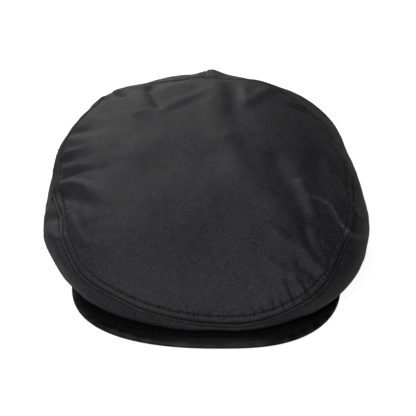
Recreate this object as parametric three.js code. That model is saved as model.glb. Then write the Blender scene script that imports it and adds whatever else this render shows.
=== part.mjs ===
// Oilcloth flat cap, lying on its hem and on the edge of its peak.
// Millimetres, +Z up. The peak points along -Y and the wearer's left side is at +X.
// The origin is on the surface that the cap rests on, below the middle of its outline.
import * as THREE from 'three';

// Driving sizes
const CROWN_WIDTH = 222;
const CROWN_LENGTH = 255;
const CROWN_HEIGHT = 94;
const OPENING_WIDTH = 159;
const OPENING_LENGTH = 199;
const OPENING_SETBACK = 40;
const CLOTH = 2;
const SEAM_GAP = 0.4;
const BACK_SEAM_DEPTH = 0.7;
const BACK_SEAM_WIDTH = 5;
const PEAK_WIDTH = 182;
const PEAK_REACH = 10;
const PEAK_LENGTH = 84;
const PEAK_THICKNESS = 3;
const PEAK_ARCH = 3.3;
const PEAK_TIP_LIFT = 2;
const PEAK_CAMBER = 0.5;
const PEAK_GAP = 0.4;
const PEAK_REST = 0.2;

// Angles are in degrees round the crown, 0 at the front and 90 at the wearer's left side
const PEAK_ROOT_ANGLE = 60;
const PEAK_EDGE_ANGLE = 97;
const HEM_DOWN_ANGLE = 86;

// How finely the surfaces are divided
const ANGLE_STEPS = 94;
const PEAK_ANGLE_STEPS = 34;
const PEAK_DEPTH_STEPS = 5;
const EDGE_ROUNDING_STEPS = 3;

// Crown sections, from the hem up to the seam of the top panel.
// half: share of half the crown's width. widest, front and back: shares of its length, counted
// from its front fold. Rises: shares of its height. lean: share of its width that the front is
// pushed towards +X. frontHold and backHold: how sharply a rise changes towards front and back.
const SECTIONS = [
  {
    name: 'tuck', half: 0.87, widest: 0.50, front: 0.07, back: 0.973,
    frontRise: 0.004, leftRise: 0.075, rightRise: 0.095, backRise: 0.138,
    frontSquare: 2.25, backSquare: 2.3, lean: 0.018, frontHold: 2.5, backHold: 1.6,
  },
  {
    name: 'under', half: 0.96, widest: 0.455, front: 0.018, back: 0.992,
    frontRise: 0.002, leftRise: 0.16, rightRise: 0.19, backRise: 0.32,
    frontSquare: 2.35, backSquare: 2.4, lean: 0.027, frontHold: 2.0, backHold: 1.6,
  },
  {
    name: 'bulge', half: 1.0, widest: 0.424, front: 0.0, back: 1.0,
    frontRise: 0.027, leftRise: 0.287, rightRise: 0.32, backRise: 0.553,
    frontSquare: 2.4, backSquare: 2.5, lean: 0.036, frontHold: 2.0, backHold: 1.6,
  },
  {
    name: 'shoulder', half: 0.975, widest: 0.40, front: 0.0, back: 0.92,
    frontRise: 0.06, leftRise: 0.426, rightRise: 0.436, backRise: 0.822,
    frontSquare: 2.5, backSquare: 2.6, lean: 0.04, frontHold: 2.0, backHold: 1.6,
  },
  {
    name: 'seam', half: 0.915, widest: 0.373, front: 0.004, back: 0.804,
    frontRise: 0.097, leftRise: 0.553, rightRise: 0.51, backRise: 0.947,
    frontSquare: 2.65, backSquare: 2.35, lean: 0.04, frontHold: 1.8, backHold: 1.5,
  },
];
const SEAM = SECTIONS[SECTIONS.length - 1];

// Where the cloth hangs further out than its sections, or is drawn in. at and spread: degrees
// round the crown. bulge, shoulder and seam: shares of half its width, above 0 outwards.
const PULLS = [
  { at: 60, spread: 13, bulge: 0, shoulder: -0.009, seam: -0.054 },
  { at: 90, spread: 14, bulge: 0, shoulder: 0, seam: -0.036 },
  { at: 121, spread: 12, bulge: -0.018, shoulder: -0.027, seam: -0.027 },
  { at: 215, spread: 8, bulge: 0, shoulder: 0.045, seam: 0.036 },
  { at: 236, spread: 24, bulge: 0, shoulder: 0.0135, seam: 0.063 },
  { at: 262, spread: 6, bulge: 0, shoulder: 0, seam: 0.018 },
  { at: 283, spread: 13, bulge: 0, shoulder: -0.009, seam: -0.041 },
  { at: 300, spread: 10, bulge: -0.0315, shoulder: -0.018, seam: -0.027 },
];

// The centre back seam holds the cloth up in a point.
// rise: share of the crown's height. width and side: shares of half its width.
const BACK_POINT = { section: 'shoulder', rise: 0.043, width: 0.081, side: 0.018 };
const HEM = { squareness: 2.1, widest: 0.5 };
const PEAK_OUTLINE = { squareness: 2.4, lean: 0.055, archPower: 1.2 };

// The top panel is a leaning plane through its centre, rounded down towards the seam
const TOP = {
  centre: 0.416, centreRise: 0.872, slope: 0.651,
  flatDrop: 0.45, flatPower: 2, rimDrop: 0.55, rimPower: 5, shapingReach: 0.9,
};

// Where the side panel is divided between its sections, and the top panel from seam to centre
const SIDE_ROWS = [0, 0.45, 1, 1.5, 2, 2.5, 3, 3.4, 3.8, 4.2, 4.6, 5];
const TOP_ROWS = [0.965, 0.92, 0.86, 0.79, 0.71, 0.62, 0.53, 0.43, 0.33, 0.22, 0.11, 0];

// Folds and dents of the cloth: a ridge where height is above 0, a valley where it is below.
// line: its course, with x as a share of half the crown's width, y as a share of its length from
// the front fold and z as a share of its height. width: share of half the crown's width.
// height: share of its height. taper: how far it has sunk away at the end of its line.
const FOLDS = [
  {
    name: 'brow valley', width: 0.045, height: -0.015, taper: 0.7,
    line: [[-0.83, 0.62, 0.73], [-0.67, 0.56, 0.84]],
  },
  {
    name: 'valley behind the dent', width: 0.045, height: -0.017, taper: 0.6,
    line: [[-0.87, 0.44, 0.63], [-0.61, 0.40, 0.77]],
  },
  {
    name: 'ridge over the dent', width: 0.045, height: 0.025, taper: 0.5,
    line: [[-0.89, 0.42, 0.59], [-0.76, 0.38, 0.67], [-0.62, 0.30, 0.69]],
  },
  {
    name: 'side dent', width: 0.055, height: -0.038, taper: 0.6,
    line: [[-0.88, 0.39, 0.57], [-0.77, 0.34, 0.63], [-0.66, 0.27, 0.65]],
  },
  {
    name: 'rim ridge', width: 0.045, height: 0.013, taper: 0,
    line: [[-0.83, 0.32, 0.56], [-0.76, 0.24, 0.55], [-0.70, 0.18, 0.51]],
  },
  {
    name: 'bulge hollow', width: 0.050, height: -0.017, taper: 0,
    line: [[-0.98, 0.39, 0.42], [-0.91, 0.35, 0.50]],
  },
  {
    name: 'bulge ridge', width: 0.045, height: 0.017, taper: 0,
    line: [[-0.98, 0.33, 0.38], [-0.88, 0.27, 0.46]],
  },
  {
    name: 'back notch', width: 0.045, height: -0.018, taper: 0,
    line: [[-0.61, 0.80, 0.82], [-0.53, 0.73, 0.90]],
  },
  {
    name: 'back crease', width: 0.045, height: -0.022, taper: 0,
    line: [[-0.37, 0.73, 0.95], [-0.28, 0.62, 0.96]],
  },
  {
    name: 'crease ridge', width: 0.045, height: 0.018, taper: 0,
    line: [[-0.29, 0.60, 0.96], [-0.18, 0.64, 0.98], [-0.01, 0.68, 0.99]],
  },
  {
    name: 'middle ridge', width: 0.060, height: 0.017, taper: 0.4,
    line: [[0.06, 0.73, 0.99], [0.07, 0.54, 0.94]],
  },
  {
    name: 'middle valley', width: 0.045, height: -0.023, taper: 0.4,
    line: [[0.14, 0.72, 0.99], [0.17, 0.53, 0.93]],
  },
  {
    name: 'right back ridge', width: 0.045, height: 0.019, taper: 0,
    line: [[0.26, 0.67, 0.97], [0.32, 0.71, 0.96], [0.40, 0.76, 0.92]],
  },
  {
    name: 'broad ridge', width: 0.081, height: 0.017, taper: 0,
    line: [[0.19, 0.43, 0.88], [0.27, 0.35, 0.81], [0.39, 0.28, 0.74], [0.52, 0.24, 0.68]],
  },
  {
    name: 'valley beside it', width: 0.055, height: -0.023, taper: 0,
    line: [[0.45, 0.40, 0.82], [0.48, 0.32, 0.77], [0.55, 0.26, 0.69]],
  },
  {
    name: 'high ridge', width: 0.045, height: 0.019, taper: 0,
    line: [[0.54, 0.37, 0.78], [0.58, 0.31, 0.73], [0.62, 0.24, 0.64]],
  },
  {
    name: 'outer valley', width: 0.063, height: -0.025, taper: 0,
    line: [[0.68, 0.44, 0.76], [0.69, 0.29, 0.67]],
  },
  {
    name: 'outer ridge', width: 0.045, height: 0.016, taper: 0,
    line: [[0.78, 0.41, 0.68], [0.84, 0.34, 0.60]],
  },
  {
    name: 'low ridge', width: 0.045, height: 0.023, taper: 0,
    line: [[0.43, 0.17, 0.61], [0.54, 0.14, 0.54], [0.67, 0.11, 0.42]],
  },
  {
    name: 'low valley', width: 0.045, height: -0.021, taper: 0,
    line: [[0.56, 0.18, 0.60], [0.65, 0.13, 0.47]],
  },
  {
    name: 'front valley', width: 0.045, height: -0.014, taper: 0,
    line: [[0.53, 0.11, 0.48], [0.61, 0.09, 0.41]],
  },
  {
    name: 'side crease', width: 0.045, height: 0.015, taper: 0,
    line: [[0.64, 0.30, 0.70], [0.74, 0.28, 0.64], [0.81, 0.24, 0.54], [0.93, 0.25, 0.42]],
  },
];

// Places worked out from the sizes
const HALF_WIDTH = CROWN_WIDTH / 2;
const FRONT_FOLD = PEAK_REACH - (CROWN_LENGTH + PEAK_REACH) / 2;
const PEAK_TIP = FRONT_FOLD - PEAK_REACH;
const HEM_FRONT = FRONT_FOLD + OPENING_SETBACK - CLOTH;
const HEM_BACK = FRONT_FOLD + OPENING_SETBACK + OPENING_LENGTH + CLOTH;
const ROOT_TOP = PEAK_REST + PEAK_THICKNESS;
const FRONT_BASE = ROOT_TOP + PEAK_GAP + PEAK_ARCH;
const TURN = 2 * Math.PI;

const radians = (degrees) => (degrees * Math.PI) / 180;
const alongLength = (share) => FRONT_FOLD + share * CROWN_LENGTH;
const mix = (a, b, t) => a + (b - a) * t;
const clamp = (t) => Math.min(Math.max(t, 0), 1);
const smooth = (t) => t * t * (3 - 2 * t);

// Height of the peak's root above the point where it meets the surface
function archRise(angle) {
  const end = Math.cos(radians(PEAK_ROOT_ANGLE));
  const share = clamp((Math.cos(angle) - end) / (1 - end));
  return PEAK_ARCH * Math.pow(share, PEAK_OUTLINE.archPower);
}

// Height of the hem: over the peak's root at the front, on the surface at the sides and back
function hemRise(angle) {
  const away = Math.abs(angle - TURN * Math.round(angle / TURN));
  const start = radians(PEAK_ROOT_ANGLE);
  const fall = clamp((away - start) / (radians(HEM_DOWN_ANGLE) - start));
  return (ROOT_TOP + PEAK_GAP) * (1 - smooth(fall)) + archRise(away);
}

// A rounded outline whose front and back halves meet where it is widest
function outline(angle, half, widest, front, back, frontSquare, backSquare) {
  const c = Math.cos(angle);
  const s = Math.sin(angle);
  const reach = c > 0 ? widest - front : back - widest;
  const square = c > 0 ? frontSquare : backSquare;
  const sum = Math.pow(Math.abs(c / reach), square) + Math.pow(Math.abs(s / half), square);
  const radius = Math.pow(sum, -1 / square);
  return [radius * s, widest - radius * c];
}

function hemPoint(angle) {
  const widest = mix(HEM_FRONT, HEM_BACK, HEM.widest);
  const half = OPENING_WIDTH / 2 + CLOTH;
  const [x, y] = outline(angle, half, widest, HEM_FRONT, HEM_BACK, HEM.squareness, HEM.squareness);
  return new THREE.Vector3(x, y, hemRise(angle));
}

// How far the cloth of a section hangs outwards at an angle
function pullAt(section, angle) {
  let total = 0;
  for (const pull of PULLS) {
    const turned = angle - radians(pull.at);
    const away = (turned - TURN * Math.round(turned / TURN)) / radians(pull.spread);
    total += (pull[section.name] ?? 0) * HALF_WIDTH * Math.exp(-away * away);
  }
  return total;
}

function backPoint(section, x, backward) {
  if (section.name !== BACK_POINT.section || backward <= 0) {
    return 0;
  }
  const away = (x / HALF_WIDTH - BACK_POINT.side) / BACK_POINT.width;
  return BACK_POINT.rise * CROWN_HEIGHT * Math.exp(-away * away);
}

function sectionPoint(section, angle) {
  const [x, y] = outline(
    angle,
    section.half * HALF_WIDTH,
    alongLength(section.widest),
    alongLength(section.front),
    alongLength(section.back),
    section.frontSquare,
    section.backSquare,
  );
  const forward = Math.max(Math.cos(angle), 0);
  const backward = Math.max(-Math.cos(angle), 0);
  const sideRise = mix(section.rightRise, section.leftRise, (1 + Math.sin(angle)) / 2) * CROWN_HEIGHT;
  const frontRise = FRONT_BASE + section.frontRise * CROWN_HEIGHT;
  const backRise = section.backRise * CROWN_HEIGHT;
  const z = sideRise
    + (frontRise - sideRise) * Math.pow(forward, section.frontHold)
    + (backRise - sideRise) * Math.pow(backward, section.backHold)
    + backPoint(section, x, backward);
  const lean = section.lean * CROWN_WIDTH * Math.pow(forward, 4);
  const pull = pullAt(section, angle);
  return new THREE.Vector3(x + pull * Math.sin(angle) + lean, y - pull * Math.cos(angle), z);
}

function topPlane(y) {
  const fromCentre = (y - alongLength(TOP.centre)) / CROWN_LENGTH;
  return CROWN_HEIGHT * (TOP.centreRise + TOP.slope * fromCentre);
}

// A point of the top panel: reach 0 is its centre and 1 is its seam
function topPoint(angle, reach) {
  const seam = sectionPoint(SEAM, angle);
  const x = reach * seam.x;
  const y = mix(alongLength(TOP.centre), seam.y, reach);
  const drop = TOP.flatDrop * Math.pow(reach, TOP.flatPower)
    + TOP.rimDrop * Math.pow(reach, TOP.rimPower);
  return new THREE.Vector3(x, y, topPlane(y) - (topPlane(seam.y) - seam.z) * drop);
}

// A point of the side panel: row 0 is the hem, then one whole number for each section
function sidePoint(curve, row) {
  const spans = curve.points.length - 1;
  return curve.getPoint((row + 1) / spans);
}

function sideCurve(angle) {
  const hem = hemPoint(angle);
  const rows = SECTIONS.map((section) => sectionPoint(section, angle));
  const inside = hem.clone().sub(rows[0]).multiply(new THREE.Vector3(0.3, 0.3, 1)).add(hem);
  const points = [inside, hem, ...rows, topPoint(angle, TOP.shapingReach)];
  return new THREE.CatmullRomCurve3(points, false, 'centripetal');
}

// Distance from a point to a line of stretches, and the share of the line reached there
function nearestOn(stretches, point) {
  const nearest = { away: Infinity, reached: 0 };
  for (const { line, start, share } of stretches) {
    const t = line.closestPointToPointParameter(point, true);
    const away = line.at(t, new THREE.Vector3()).distanceTo(point);
    if (away < nearest.away) {
      nearest.away = away;
      nearest.reached = start + t * share;
    }
  }
  return nearest;
}

function placedPoint([x, y, z]) {
  return new THREE.Vector3(x * HALF_WIDTH, alongLength(y), z * CROWN_HEIGHT);
}

function placedStretches(course) {
  const points = course.map(placedPoint);
  const lines = points.slice(1).map((point, i) => new THREE.Line3(points[i], point));
  const total = lines.reduce((sum, line) => sum + line.distance(), 0);
  let start = 0;
  return lines.map((line) => {
    const stretch = { line, start, share: line.distance() / total };
    start += stretch.share;
    return stretch;
  });
}

const PLACED_FOLDS = FOLDS.map((fold) => ({
  stretches: placedStretches(fold.line),
  width: fold.width * HALF_WIDTH,
  height: fold.height * CROWN_HEIGHT,
  taper: fold.taper,
}));

function foldHeight(point) {
  let height = 0;
  for (const fold of PLACED_FOLDS) {
    const { away, reached } = nearestOn(fold.stretches, point);
    const share = away / fold.width;
    height += fold.height * Math.exp(-share * share) * (1 - fold.taper * reached);
  }
  return height;
}

// Angles round the crown, with one at the centre back and one at each side of its seam
function crownAngles() {
  const step = TURN / ANGLE_STEPS;
  const half = BACK_SEAM_WIDTH / 2 / HALF_WIDTH;
  const angles = [];
  for (let i = 0; i < ANGLE_STEPS; i += 1) {
    angles.push(i * step);
  }
  const back = (ANGLE_STEPS / 2) * step;
  return [...angles, back - half, back + half].sort((a, b) => a - b);
}

const ANGLES = crownAngles();
const BACK_COLUMN = ANGLES.length / 2;
const SEAM_ROW = SIDE_ROWS.length - 1;

// Rows of points from the hem over the seam to the centre of the top panel
function crownSurface() {
  const curves = ANGLES.map(sideCurve);
  const side = SIDE_ROWS.map((row) => curves.map((curve) => sidePoint(curve, row)));
  const top = TOP_ROWS.map((reach) => ANGLES.map((angle) => topPoint(angle, reach)));
  return [...side, ...top];
}

// Outward directions of a surface that closes on itself along its rows
function surfaceNormals(rows) {
  const count = rows[0].length;
  const last = rows.length - 1;
  const centre = new THREE.Vector3(0, -TOP.slope * CROWN_HEIGHT, CROWN_LENGTH).normalize();
  return rows.map((row, i) => row.map((point, j) => {
    if (i === last) {
      return centre.clone();
    }
    const along = row[(j + 1) % count].clone().sub(row[(j + count - 1) % count]);
    const up = rows[i + 1][j].clone().sub(rows[Math.max(i - 1, 0)][j]);
    return along.cross(up).normalize();
  }));
}

function offsetRows(rows, normals, distance) {
  return rows.map((row, i) => row.map((point, j) => (
    point.clone().addScaledVector(normals[i][j], distance(point, i, j)))));
}

// The crown's outer surface with its folds, flat along the hem, and its centre back seam
function foldedSurface() {
  const base = crownSurface();
  return offsetRows(base, surfaceNormals(base), (point, i, j) => {
    if (i === 0) {
      return 0;
    }
    const seam = j === BACK_COLUMN && i < SEAM_ROW ? -BACK_SEAM_DEPTH : 0;
    return foldHeight(point) + seam;
  });
}

// Builds a closed mesh from strips between rows of points
class Solid {
  constructor() {
    this.positions = [];
    this.faces = [];
  }

  addRow(points) {
    return points.map((point) => {
      this.positions.push(point.x, point.y, point.z);
      return this.positions.length / 3 - 1;
    });
  }

  // Faces look out where the second row lies on the left of the first
  strip(first, second, closed) {
    const last = closed ? first.length : first.length - 1;
    for (let j = 0; j < last; j += 1) {
      const k = (j + 1) % first.length;
      this.faces.push(first[j], first[k], second[k]);
      this.faces.push(first[j], second[k], second[j]);
    }
  }

  fan(row, centre, outward) {
    for (let j = 0; j < row.length; j += 1) {
      const k = (j + 1) % row.length;
      const pair = outward ? [row[j], row[k]] : [row[k], row[j]];
      this.faces.push(...pair, centre);
    }
  }

  mesh(name, material) {
    const geometry = new THREE.BufferGeometry();
    geometry.setAttribute('position', new THREE.Float32BufferAttribute(this.positions, 3));
    geometry.setIndex(this.faces);
    geometry.computeVertexNormals();
    const mesh = new THREE.Mesh(geometry, material);
    mesh.name = name;
    return mesh;
  }
}

// Moves a row towards the next one by half of the seam's gap
function easedRow(row, towards) {
  return row.map((point, j) => {
    const away = towards[j].clone().sub(point);
    return point.clone().addScaledVector(away.normalize(), SEAM_GAP / 2);
  });
}

// The hem's inner edge stands level with its outer edge, and its turned-in edge above that
function hemInnerRows(hem, normals) {
  const inward = normals.map((normal) => new THREE.Vector3(-normal.x, -normal.y, 0).normalize());
  const edge = hem.map((point, j) => point.clone().addScaledVector(inward[j], CLOTH));
  const turned = edge.map((point, j) => (
    point.clone().add(new THREE.Vector3(0, 0, -CLOTH * Math.min(normals[j].z, -0.25)))));
  return [edge, turned];
}

function sidePanel(outer, inner, normals, material) {
  const solid = new Solid();
  const outerRows = outer.slice(0, SEAM_ROW);
  const innerRows = inner.slice(1, SEAM_ROW);
  outerRows.push(easedRow(outer[SEAM_ROW], outer[SEAM_ROW - 1]));
  innerRows.push(easedRow(inner[SEAM_ROW], inner[SEAM_ROW - 1]));
  const loop = [...outerRows, ...innerRows.reverse(), ...hemInnerRows(outer[0], normals[0]).reverse()];
  const rows = loop.map((row) => solid.addRow(row));
  rows.forEach((row, i) => solid.strip(row, rows[(i + 1) % rows.length], true));
  return solid.mesh('side_panel', material);
}

function topPanel(outer, inner, material) {
  const solid = new Solid();
  const last = outer.length - 1;
  const outerRows = [easedRow(outer[SEAM_ROW], outer[SEAM_ROW + 1]), ...outer.slice(SEAM_ROW + 1, last)];
  const innerRows = [easedRow(inner[SEAM_ROW], inner[SEAM_ROW + 1]), ...inner.slice(SEAM_ROW + 1, last)];
  const rows = [...innerRows.reverse(), ...outerRows].map((row) => solid.addRow(row));
  for (let i = 0; i < rows.length - 1; i += 1) {
    solid.strip(rows[i], rows[i + 1], true);
  }
  const [outerCentre] = solid.addRow([outer[last][0]]);
  const [innerCentre] = solid.addRow([inner[last][0]]);
  solid.fan(rows[rows.length - 1], outerCentre, true);
  solid.fan(rows[0], innerCentre, false);
  return solid.mesh('crown_top', material);
}

// The peak's root follows the hem's inner edge and lies under it
function peakRootPoint(share) {
  const angle = share * radians(PEAK_ROOT_ANGLE);
  const hem = hemPoint(angle);
  const centre = new THREE.Vector3(0, mix(HEM_FRONT, HEM_BACK, HEM.widest), hem.z);
  const inward = centre.sub(hem).setLength(CLOTH);
  hem.add(inward);
  hem.z -= PEAK_GAP;
  return hem;
}

// The peak's outer edge, inset by half its thickness to leave room for its rounding
function peakEdgePoint(share) {
  const angle = share * radians(PEAK_EDGE_ANGLE);
  const inset = PEAK_THICKNESS / 2;
  const front = PEAK_TIP + inset;
  const widest = PEAK_TIP + PEAK_LENGTH;
  const half = PEAK_WIDTH / 2 - inset;
  const square = PEAK_OUTLINE.squareness;
  const [x, y] = outline(angle, half, widest, front, 2 * widest - front, square, square);
  const forward = Math.max(Math.cos(angle), 0);
  const lean = PEAK_OUTLINE.lean * PEAK_WIDTH * Math.pow(forward, 4);
  return new THREE.Vector3(x + lean, y, ROOT_TOP + PEAK_TIP_LIFT * forward * forward);
}

function peakTopPoint(share, depth) {
  const point = peakRootPoint(share).lerp(peakEdgePoint(share), depth);
  point.z += PEAK_CAMBER * 4 * depth * (1 - depth);
  return point;
}

// One closed section through the peak, from root to edge along the top and back below
function peakSection(share) {
  const points = [];
  for (let i = 0; i <= PEAK_DEPTH_STEPS; i += 1) {
    points.push(peakTopPoint(share, i / PEAK_DEPTH_STEPS));
  }
  const below = points.map((point) => point.clone().setZ(point.z - PEAK_THICKNESS)).reverse();
  const edge = points[PEAK_DEPTH_STEPS];
  const outward = edge.clone().sub(points[0]).setZ(0).normalize();
  for (let i = 1; i < EDGE_ROUNDING_STEPS; i += 1) {
    const turn = (i / EDGE_ROUNDING_STEPS) * Math.PI;
    const point = edge.clone().addScaledVector(outward, Math.sin(turn) * PEAK_THICKNESS / 2);
    point.z += (Math.cos(turn) - 1) * PEAK_THICKNESS / 2;
    points.push(point);
  }
  return [...points, ...below];
}

function peak(material) {
  const solid = new Solid();
  const rings = [];
  for (let i = 0; i <= PEAK_ANGLE_STEPS; i += 1) {
    rings.push(solid.addRow(peakSection((2 * i) / PEAK_ANGLE_STEPS - 1)));
  }
  for (let i = 0; i < PEAK_ANGLE_STEPS; i += 1) {
    solid.strip(rings[i], rings[i + 1], true);
  }
  const half = Math.ceil(rings[0].length / 2);
  const ends = [[rings[0], false], [rings[PEAK_ANGLE_STEPS], true]];
  for (const [ring, last] of ends) {
    const upper = ring.slice(0, half);
    const lower = ring.slice(half).reverse();
    solid.strip(last ? upper : lower, last ? lower : upper, false);
  }
  return solid.mesh('peak', material);
}

// Materials
const oilcloth = new THREE.MeshStandardMaterial({ color: 0x2b2b2d, roughness: 0.62, metalness: 0 });
const peakCloth = new THREE.MeshStandardMaterial({ color: 0x1f1f21, roughness: 0.55, metalness: 0 });

// Assembly
const outer = foldedSurface();
const normals = surfaceNormals(outer);
const inner = offsetRows(outer, normals, () => -CLOTH);
const cap = new THREE.Group();
cap.name = 'flat_cap';
cap.add(topPanel(outer, inner, oilcloth));
cap.add(sidePanel(outer, inner, normals, oilcloth));
cap.add(peak(peakCloth));

export default cap;
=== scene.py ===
import math

import bpy
import numpy as np
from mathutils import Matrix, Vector


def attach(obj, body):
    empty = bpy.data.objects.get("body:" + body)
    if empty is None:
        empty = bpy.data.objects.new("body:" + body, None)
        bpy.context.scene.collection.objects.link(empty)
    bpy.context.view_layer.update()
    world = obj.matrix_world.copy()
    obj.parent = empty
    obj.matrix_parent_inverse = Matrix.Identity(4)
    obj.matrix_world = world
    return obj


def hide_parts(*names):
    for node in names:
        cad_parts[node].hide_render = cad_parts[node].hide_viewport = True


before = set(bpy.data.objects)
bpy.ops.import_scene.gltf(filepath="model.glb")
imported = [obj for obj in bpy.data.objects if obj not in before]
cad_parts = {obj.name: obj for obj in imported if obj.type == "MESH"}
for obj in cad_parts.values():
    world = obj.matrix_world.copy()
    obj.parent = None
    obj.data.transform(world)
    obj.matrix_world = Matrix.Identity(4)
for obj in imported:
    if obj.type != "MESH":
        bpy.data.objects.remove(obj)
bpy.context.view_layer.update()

# Oilcloth flat cap: fine cloth surfaces, seams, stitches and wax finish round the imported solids.
# Lengths are in millimetres until a mesh is written, +Z up, the peak towards -Y.
MILLIMETRE = 0.001

# The same sizes as the solids have
CROWN_WIDTH = 222.0
CROWN_LENGTH = 255.0
CROWN_HEIGHT = 94.0
OPENING_WIDTH = 159.0
OPENING_LENGTH = 199.0
OPENING_SETBACK = 40.0
CLOTH = 2.0
PEAK_WIDTH = 182.0
PEAK_REACH = 10.0
PEAK_LENGTH = 84.0
PEAK_THICKNESS = 3.0
PEAK_ARCH = 3.3
PEAK_TIP_LIFT = 2.0
PEAK_CAMBER = 0.5
PEAK_GAP = 0.4
PEAK_REST = 0.2
PEAK_ROOT_ANGLE = math.radians(60)
PEAK_EDGE_ANGLE = math.radians(97)
HEM_DOWN_ANGLE = math.radians(86)
PEAK_SQUARENESS = 2.4
PEAK_LEAN = 0.055
ARCH_POWER = 1.2
LEAN_POWER = 4

HALF_WIDTH = CROWN_WIDTH / 2
FRONT_FOLD = PEAK_REACH - (CROWN_LENGTH + PEAK_REACH) / 2
PEAK_TIP = FRONT_FOLD - PEAK_REACH
HEM_FRONT = FRONT_FOLD + OPENING_SETBACK - CLOTH
HEM_BACK = FRONT_FOLD + OPENING_SETBACK + OPENING_LENGTH + CLOTH
HEM_MIDDLE = (HEM_FRONT + HEM_BACK) / 2
HEM_SQUARENESS = 2.1
HEM_CARRY_ON = (0.3, 0.3, 1.0)
ROOT_TOP = PEAK_REST + PEAK_THICKNESS
FRONT_BASE = ROOT_TOP + PEAK_GAP + PEAK_ARCH

# Crown sections from the hem up to the seam, as shares of the crown's half width, length and
# height. hold says how sharply a rise changes towards the front and towards the back.
SECTIONS = [
    dict(name="tuck", half=0.87, widest=0.50, front=0.07, back=0.973, front_rise=0.004, left_rise=0.075,
         right_rise=0.095, back_rise=0.138, square=(2.25, 2.3), lean=0.018, hold=(2.5, 1.6)),
    dict(name="under", half=0.96, widest=0.455, front=0.018, back=0.992, front_rise=0.002, left_rise=0.16,
         right_rise=0.19, back_rise=0.32, square=(2.35, 2.4), lean=0.027, hold=(2.0, 1.6)),
    dict(name="bulge", half=1.0, widest=0.424, front=0.0, back=1.0, front_rise=0.027, left_rise=0.287,
         right_rise=0.32, back_rise=0.553, square=(2.4, 2.5), lean=0.036, hold=(2.0, 1.6)),
    dict(name="shoulder", half=0.975, widest=0.40, front=0.0, back=0.92, front_rise=0.06, left_rise=0.426,
         right_rise=0.436, back_rise=0.822, square=(2.5, 2.6), lean=0.04, hold=(2.0, 1.6)),
    dict(name="seam", half=0.915, widest=0.373, front=0.004, back=0.804, front_rise=0.097, left_rise=0.553,
         right_rise=0.51, back_rise=0.947, square=(2.65, 2.35), lean=0.04, hold=(1.8, 1.5)),
]
SEAM = SECTIONS[-1]

# Where the cloth hangs further out than its section, or is drawn in. Angles in degrees run from
# the front to the wearer's left, distances in millimetres are above 0 outwards.
PULLS = [
    dict(angle=236, spread=24, seam=8.5, shoulder=0.0, bulge=0.0),
    dict(angle=215, spread=8, seam=4.0, shoulder=5.0, bulge=0.0),
    dict(angle=262, spread=6, seam=2.0, shoulder=0.0, bulge=0.0),
    dict(angle=283, spread=13, seam=-4.5, shoulder=-1.0, bulge=0.0),
    dict(angle=300, spread=10, seam=-3.0, shoulder=-2.0, bulge=-3.5),
    dict(angle=60, spread=13, seam=-6.0, shoulder=-1.0, bulge=0.0),
    dict(angle=90, spread=14, seam=-4.0, shoulder=0.0, bulge=0.0),
    dict(angle=121, spread=12, seam=-3.0, shoulder=-3.0, bulge=-2.0),
]

# Where the seam stands higher than its section, or the cloth below it sinks, in millimetres.
LIFTS = [
    dict(angle=219, spread=27, seam=3.5, shoulder=-4.0),
    dict(angle=158, spread=11, seam=3.6, shoulder=-3.0),
    dict(angle=14, spread=24, seam=-2.0, shoulder=-0.6),
    dict(angle=321, spread=10, seam=1.8, shoulder=0.0),
]
BACK_POINT_RISE = 5.0
BACK_POINT_WIDTH = 9.0
BACK_POINT_SIDE = 4.0
TOP_CENTRE = 0.416
TOP_CENTRE_RISE = 0.872
TOP_SLOPE = 0.651
TOP_FLAT_DROP = 0.45
TOP_RIM_DROP = 0.55
TOP_SHAPING_REACH = 0.9

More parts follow.
